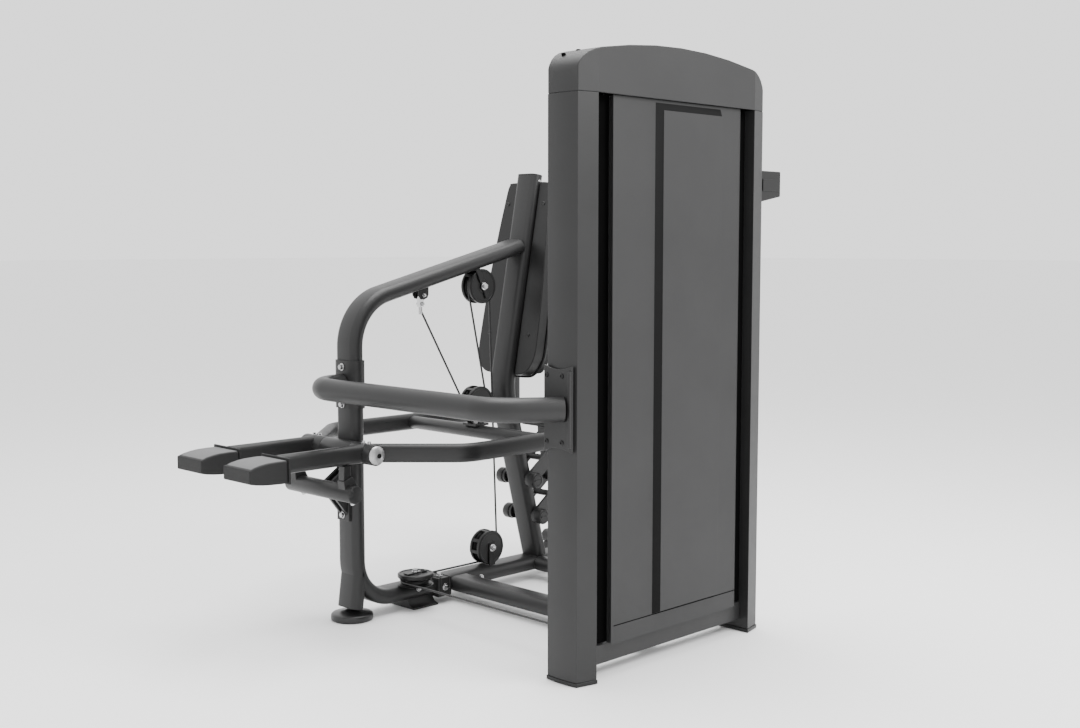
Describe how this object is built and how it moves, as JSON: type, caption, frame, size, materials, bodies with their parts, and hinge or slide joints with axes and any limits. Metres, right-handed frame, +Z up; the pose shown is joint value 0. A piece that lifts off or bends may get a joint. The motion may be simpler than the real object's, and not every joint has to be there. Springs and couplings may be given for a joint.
{
  "type": "seated dip machine",
  "caption": "Selectorised seated dip machine with a weight tower on the user's right, a back pad, a swinging arm pair with rear counterweights, and a cable and pulley drive.",
  "frame": {"origin": "bottom centre of the bounding box, on the floor", "axes": "+X the way the seated user faces, +Y to the user's left, +Z up; the weight tower stands on the -Y side"},
  "size_m": [1.536, 1.2538, 1.5345],
  "materials": {
    "charcoal_powder": "satin powder coat",
    "shroud_sheet": "fine textured powder coat",
    "black_plastic": "satin moulded",
    "weight_cover": "fine textured coat",
    "black_rubber": "semi-gloss",
    "bright_zinc": "bright plated",
    "grey_vinyl": "smooth upholstery vinyl",
    "cable_jacket": "smooth extruded jacket",
    "stack_plate": "black oxide"
  },
  "bodies": {
    "frame": {"rear_upright": "charcoal_powder", "upright_sleeve": "charcoal_powder", "upper_boom": "charcoal_powder", "back_post": "charcoal_powder", "base_spine": "charcoal_powder", "base_side_tube": "charcoal_powder", "base_front_tube": "charcoal_powder", "rear_foot": "black_rubber", "stop_bar": "charcoal_powder", "guard_rail": "charcoal_powder", "tower_upright_rear": "charcoal_powder", "tower_upright_front": "charcoal_powder", "tower_foot_rear": "black_plastic", "tower_foot_front": "black_plastic", "tower_cap": "shroud_sheet", "outer_shroud": "shroud_sheet", "shroud_panel": "shroud_sheet", "inner_shroud": "shroud_sheet", "tower_base_beam": "charcoal_powder", "tower_head_beam": "charcoal_powder", "accessory_box": "black_plastic", "guide_rod_rear": "bright_zinc", "guide_rod_front": "bright_zinc", "stack_lower_plates": "stack_plate", "buffer_left": "black_rubber", "buffer_right": "black_rubber", "upper_pulley_housing": "black_plastic", "base_pulley_housing": "black_plastic", "flat_pulley_housing": "black_plastic", "cable_anchor": "bright_zinc", "cable_main_run": "cable_jacket", "pad_backing": "black_plastic", "back_pad": "grey_vinyl"},
    "arms": {"press_arm_left": "charcoal_powder", "press_arm_right": "charcoal_powder", "arm_cross_tube": "charcoal_powder", "pivot_shaft": "bright_zinc", "counterweight_left": "weight_cover", "counterweight_right": "weight_cover", "arm_pulley_housing": "black_plastic", "cable_arm_loop": "cable_jacket"},
    "left_grip": {"handle_left": "bright_zinc"},
    "right_grip": {"handle_right": "bright_zinc"},
    "arm_wheel": {"arm_pulley_wheel": "black_plastic"},
    "upper_wheel": {"upper_pulley_wheel": "black_plastic"},
    "base_wheel": {"base_pulley_wheel": "black_plastic"},
    "flat_wheel": {"flat_pulley_wheel": "black_plastic"},
    "tower_low_pulley": {"tower_low_wheel": "black_plastic"},
    "head_rear_pulley": {"tower_head_wheel_rear": "black_plastic"},
    "head_front_pulley": {"tower_head_wheel_front": "black_plastic"},
    "stack": {"stack_selected_plates": "stack_plate", "cable_stack_run": "cable_jacket"},
    "pin": {"selector_pin": "black_rubber"},
    "seat_lower": {"seat_link_lower": "charcoal_powder"},
    "seat_upper": {"seat_link_upper": "charcoal_powder"},
    "seat": {"seat_carriage": "charcoal_powder", "seat_pad": "grey_vinyl"},
    "seat_knob": {"seat_pull_pin": "black_rubber"}
  },
  "joints": [
    {"name": "press", "type": "hinge", "parent": "frame", "child": "arms", "pos_m": [-0.3606, 0.24812, 0.486], "axis": [0, 1, 0], "range_deg": [0, 20], "deforming": ["cable_arm_loop"]},
    {"name": "stack_lift", "type": "slide", "parent": "frame", "child": "stack", "axis": [0, 0, 1], "range_m": [0, 0.34], "deforming": ["cable_stack_run"]},
    {"name": "pin_pull", "type": "slide", "parent": "stack", "child": "pin", "axis": [0, 1, 0], "range_m": [0, 0.06]},
    {"name": "left_grip_swivel", "type": "hinge", "parent": "arms", "child": "left_grip", "pos_m": [0.598, 0.55612, 0], "axis": [0, 0, 1], "range_deg": [-180, 0]},
    {"name": "right_grip_swivel", "type": "hinge", "parent": "arms", "child": "right_grip", "pos_m": [0.598, -0.05988, 0], "axis": [0, 0, 1], "range_deg": [0, 180]},
    {"name": "upper_wheel_turn", "type": "hinge", "parent": "frame", "child": "upper_wheel", "pos_m": [0.158, 0.24812, 0.927], "axis": [0, 1, 0], "range_deg": [-450, 450]},
    {"name": "arm_wheel_turn", "type": "hinge", "parent": "arms", "child": "arm_wheel", "pos_m": [0.148, 0.24812, 0.573], "axis": [0, 1, 0], "range_deg": [-200, 200]},
    {"name": "base_wheel_turn", "type": "hinge", "parent": "frame", "child": "base_wheel", "pos_m": [0.188, 0.24812, 0.124], "axis": [0, 1, 0], "range_deg": [-450, 450]},
    {"name": "flat_wheel_turn", "type": "hinge", "parent": "frame", "child": "flat_wheel", "pos_m": [-0.1315, 0.20562, 0.0815], "axis": [0, 0, 1], "range_deg": [-450, 450]},
    {"name": "tower_low_turn", "type": "hinge", "parent": "frame", "child": "tower_low_pulley", "pos_m": [-0.174, -0.53788, 0.1075], "axis": [1, 0, 0], "range_deg": [-740, 740]},
    {"name": "head_rear_turn", "type": "hinge", "parent": "frame", "child": "head_rear_pulley", "pos_m": [-0.1315, -0.56388, 1.432], "axis": [0, 1, 0], "range_deg": [-450, 450]},
    {"name": "head_front_turn", "type": "hinge", "parent": "frame", "child": "head_front_pulley", "pos_m": [0.0015, -0.56388, 1.432], "axis": [0, 1, 0], "range_deg": [-450, 450]},
    {"name": "seat_height", "type": "hinge", "parent": "frame", "child": "seat_lower", "pos_m": [0.357, 0.24812, 0.204], "axis": [0, -1, 0], "range_deg": [-15, 20]},
    {"name": "seat_upper_link", "type": "hinge", "parent": "frame", "child": "seat_upper", "pos_m": [0.329, 0.24812, 0.322], "axis": [0, -1, 0], "range_deg": [-15, 20]},
    {"name": "seat_level", "type": "hinge", "parent": "seat_lower", "child": "seat", "pos_m": [0.507, 0.24812, 0.314], "axis": [0, -1, 0], "range_deg": [-20, 15]},
    {"name": "seat_knob_pull", "type": "slide", "parent": "seat", "child": "seat_knob", "axis": [0, -1, 0], "range_m": [0, 0.012], "stiffness_N_per_m": 600}
  ],
  "couplings": [
    {"joint": "stack_lift", "follows": "press", "m_per_rad": 0.944},
    {"joint": "upper_wheel_turn", "follows": "press", "ratio": -22.212},
    {"joint": "base_wheel_turn", "follows": "press", "ratio": -22.212},
    {"joint": "flat_wheel_turn", "follows": "press", "ratio": -22.212},
    {"joint": "tower_low_turn", "follows": "press", "ratio": 36.308},
    {"joint": "head_rear_turn", "follows": "press", "ratio": -22.212},
    {"joint": "head_front_turn", "follows": "press", "ratio": -22.212},
    {"joint": "arm_wheel_turn", "follows": "press", "ratio": 9.4},
    {"joint": "seat_upper_link", "follows": "seat_height", "ratio": 1},
    {"joint": "seat_level", "follows": "seat_height", "ratio": -1}
  ]
}
